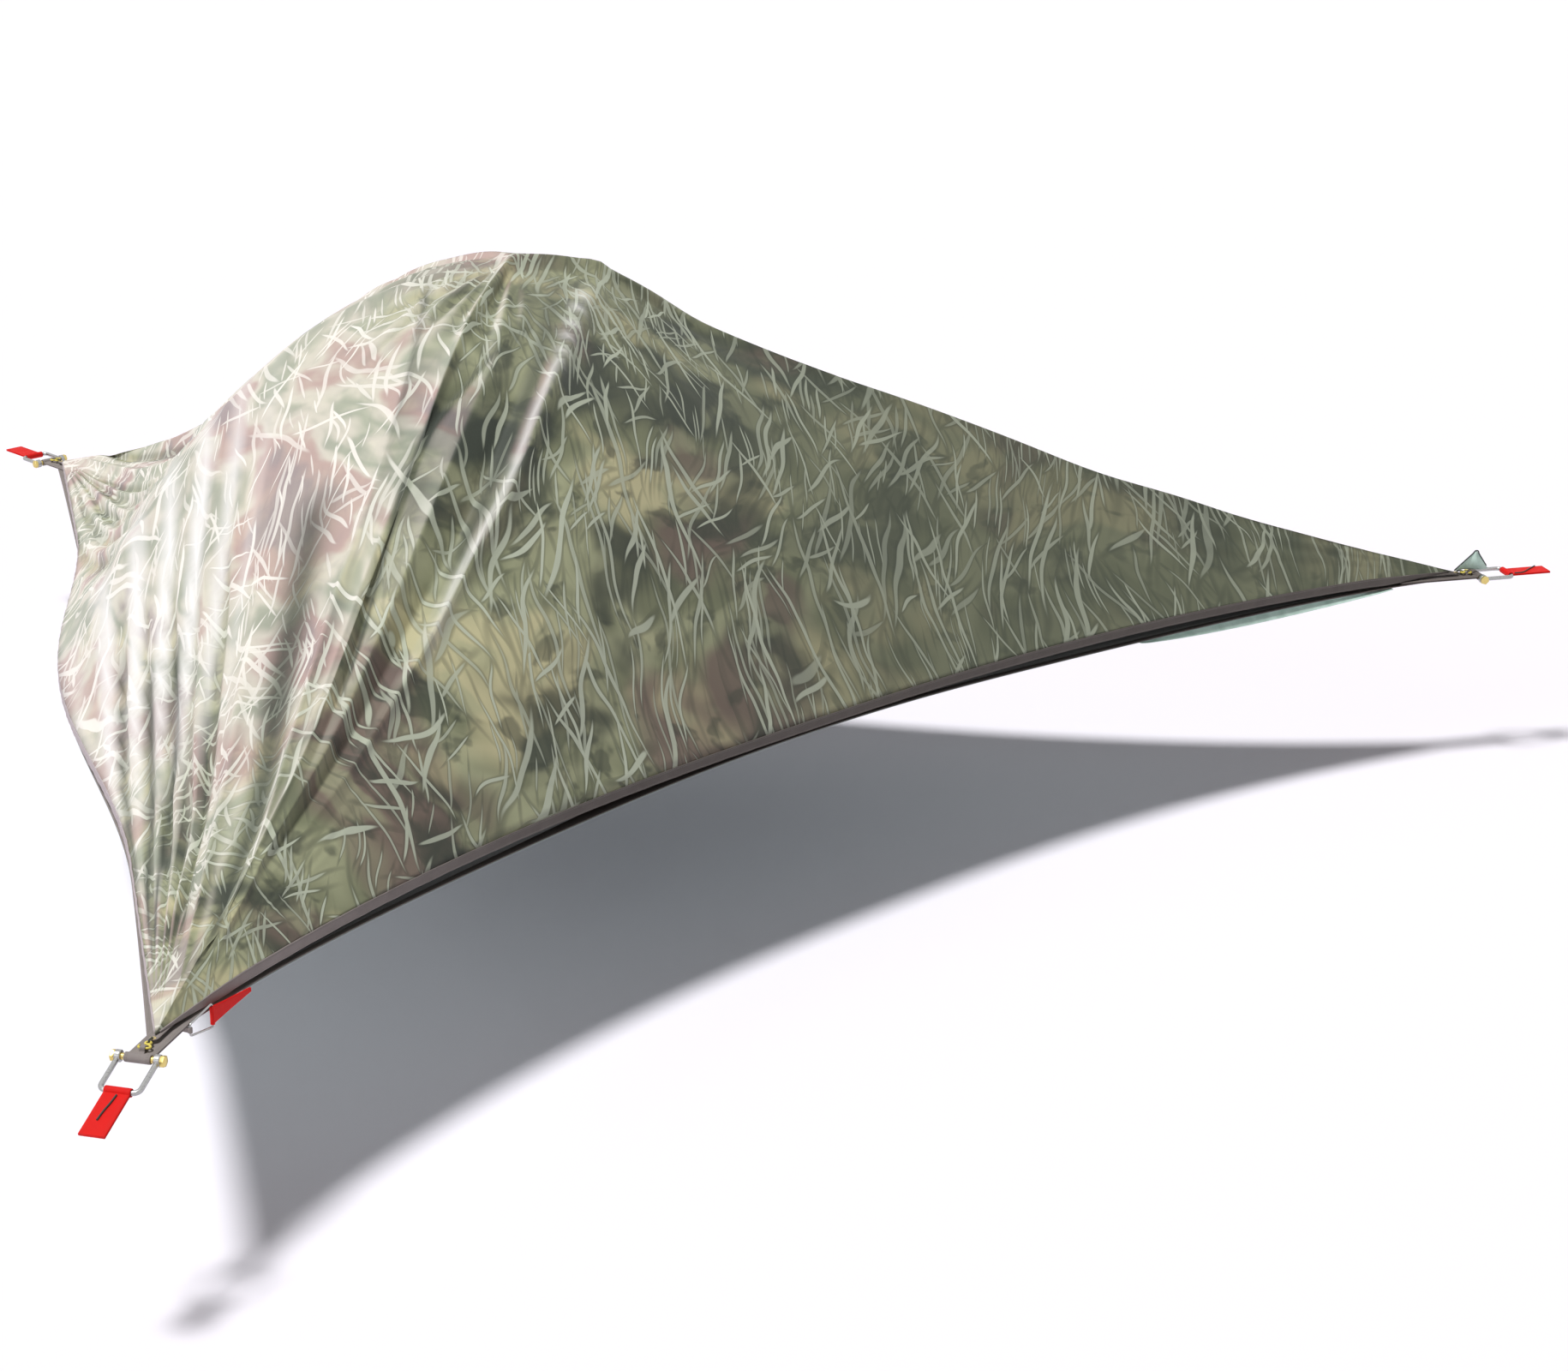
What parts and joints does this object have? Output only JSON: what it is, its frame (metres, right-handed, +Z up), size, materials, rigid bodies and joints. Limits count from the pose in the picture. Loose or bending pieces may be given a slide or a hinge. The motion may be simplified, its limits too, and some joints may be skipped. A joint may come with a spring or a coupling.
{
  "type": "tree tent",
  "caption": "Triangular tree tent hung from its corners: webbing-edged floor with a hatch, crossed arch poles, mesh canopy and a peaked camouflage rain fly.",
  "frame": {"origin": "the centre of the hung triangle, level with the middle of the webbing at its three corners", "axes": "+X toward corner B, the long end; +Y along the rear edge toward corner C; +Z up"},
  "size_m": [3.7367, 4.3074, 1.0061],
  "materials": {
    "rain_fly": "coated cloth with a soft camouflage print",
    "hem_webbing": "woven tape",
    "load_webbing": "woven webbing",
    "red_webbing": "woven webbing, slightly glossy",
    "floor_fabric": "coated cloth",
    "hatch_fabric": "coated cloth",
    "mesh_fabric": "fine insect mesh",
    "pole_metal": "anodised tube",
    "steel": "stainless",
    "brass": "plain",
    "yellow_plastic": "moulded",
    "black_plastic": "moulded",
    "dark_cord": "covered elastic"
  },
  "bodies": {
    "tent": {"rain_fly": "rain_fly", "front_hem_tape": "hem_webbing", "back_hem_tape": "hem_webbing", "rear_hem_tape": "hem_webbing", "fly_corner_tab_a": "hem_webbing", "fly_corner_tab_b": "hem_webbing", "fly_corner_tab_c": "hem_webbing", "front_edge_strap": "load_webbing", "back_edge_strap": "load_webbing", "rear_edge_strap": "load_webbing", "hatch_frame": "load_webbing", "ring_keeper": "load_webbing", "cross_strap_a": "load_webbing", "cross_strap_b": "load_webbing", "cross_strap_c": "load_webbing", "corner_loop_a": "load_webbing", "corner_loop_b": "load_webbing", "corner_loop_c": "load_webbing", "front_floor_bay": "floor_fabric", "back_floor_bay": "floor_fabric", "rear_floor_bay": "floor_fabric", "mesh_canopy": "mesh_fabric", "long_pole_section_1": "pole_metal", "long_pole_section_2": "pole_metal", "long_pole_section_3": "pole_metal", "cross_pole_section_1": "pole_metal", "cross_pole_section_2": "pole_metal", "cross_pole_section_3": "pole_metal", "fly_hook_a": "yellow_plastic", "fly_hook_b": "yellow_plastic", "fly_hook_c": "yellow_plastic", "pole_crossing_hub": "black_plastic", "pole_cup_rear": "black_plastic", "pole_cup_front": "black_plastic", "pole_cup_near": "black_plastic", "pole_cup_far": "black_plastic", "fly_bungee_a": "dark_cord", "fly_bungee_b": "dark_cord", "fly_bungee_c": "dark_cord"},
    "shackle_a": {"shackle_a": "steel"},
    "shackle_pin_a": {"shackle_pin_a": "brass"},
    "anchor_strap_a": {"anchor_strap_a": "red_webbing"},
    "shackle_b": {"shackle_b": "steel"},
    "shackle_pin_b": {"shackle_pin_b": "brass"},
    "anchor_strap_b": {"anchor_strap_b": "red_webbing"},
    "shackle_c": {"shackle_c": "steel"},
    "shackle_pin_c": {"shackle_pin_c": "brass"},
    "anchor_strap_c": {"anchor_strap_c": "red_webbing"},
    "tension_ring": {"tension_ring": "steel"},
    "red_pull_tab": {"red_pull_tab": "red_webbing"},
    "hatch_flap": {"hatch_flap": "hatch_fabric"},
    "hatch_slider_front": {"hatch_slider_front": "brass"},
    "hatch_slider_back": {"hatch_slider_back": "brass"},
    "mesh_door": {"mesh_door": "mesh_fabric"}
  },
  "joints": [
    {"name": "shackle_a_swing", "type": "hinge", "parent": "tent", "child": "shackle_a", "pos_m": [-1.14333, -1.98031, 0], "axis": [0.866, -0.5, 0], "range_deg": [-45, 45]},
    {"name": "shackle_pin_a_turn", "type": "hinge", "parent": "shackle_a", "child": "shackle_pin_a", "pos_m": [-1.14333, -1.98031, 0], "axis": [0.866, -0.5, 0], "continuous": true},
    {"name": "anchor_strap_a_swing", "type": "hinge", "parent": "shackle_a", "child": "anchor_strap_a", "pos_m": [-1.18233, -2.04785, -0.02534], "axis": [0.866, -0.5, 0], "range_deg": [-60, 60]},
    {"name": "shackle_b_swing", "type": "hinge", "parent": "tent", "child": "shackle_b", "pos_m": [2.28667, 0, 0], "axis": [0, 1, 0], "range_deg": [-45, 45]},
    {"name": "shackle_pin_b_turn", "type": "hinge", "parent": "shackle_b", "child": "shackle_pin_b", "pos_m": [2.28667, 0, 0], "axis": [0, 1, 0], "continuous": true},
    {"name": "anchor_strap_b_swing", "type": "hinge", "parent": "shackle_b", "child": "anchor_strap_b", "pos_m": [2.36867, 0, 0], "axis": [0, 1, 0], "range_deg": [-60, 60]},
    {"name": "shackle_c_swing", "type": "hinge", "parent": "tent", "child": "shackle_c", "pos_m": [-1.14333, 1.98031, 0], "axis": [-0.866, -0.5, 0], "range_deg": [-45, 45]},
    {"name": "shackle_pin_c_turn", "type": "hinge", "parent": "shackle_c", "child": "shackle_pin_c", "pos_m": [-1.14333, 1.98031, 0], "axis": [-0.866, -0.5, 0], "continuous": true},
    {"name": "anchor_strap_c_swing", "type": "hinge", "parent": "shackle_c", "child": "anchor_strap_c", "pos_m": [-1.18433, 2.05132, 0], "axis": [-0.866, -0.5, 0], "range_deg": [-60, 60]},
    {"name": "tension_ring_swing", "type": "hinge", "parent": "tent", "child": "tension_ring", "pos_m": [-1.04849, -1.87382, -0.0078], "axis": [0, 0, -1], "range_deg": [0, 90]},
    {"name": "red_pull_tab_swing", "type": "hinge", "parent": "tension_ring", "child": "red_pull_tab", "pos_m": [-1.00592, -1.82079, -0.0078], "axis": [0, 0, -1], "range_deg": [0, 90]},
    {"name": "hatch_flap_open", "type": "hinge", "parent": "tent", "child": "hatch_flap", "pos_m": [-0.24094, 0, -0.0506], "axis": [0, 1, 0], "range_deg": [0, 100]},
    {"name": "hatch_slider_front_slide", "type": "slide", "parent": "tent", "child": "hatch_slider_front", "axis": [-0.866, -0.5, 0], "range_m": [0, 0.74]},
    {"name": "hatch_slider_back_slide", "type": "slide", "parent": "tent", "child": "hatch_slider_back", "axis": [-0.866, 0.5, 0], "range_m": [0, 0.74]},
    {"name": "mesh_door_open", "type": "hinge", "parent": "tent", "child": "mesh_door", "pos_m": [-1.04942, -0.68609, 0.07957], "axis": [-0.0185, 0.9803, 0.1964], "range_deg": [0, 33]}
  ]
}
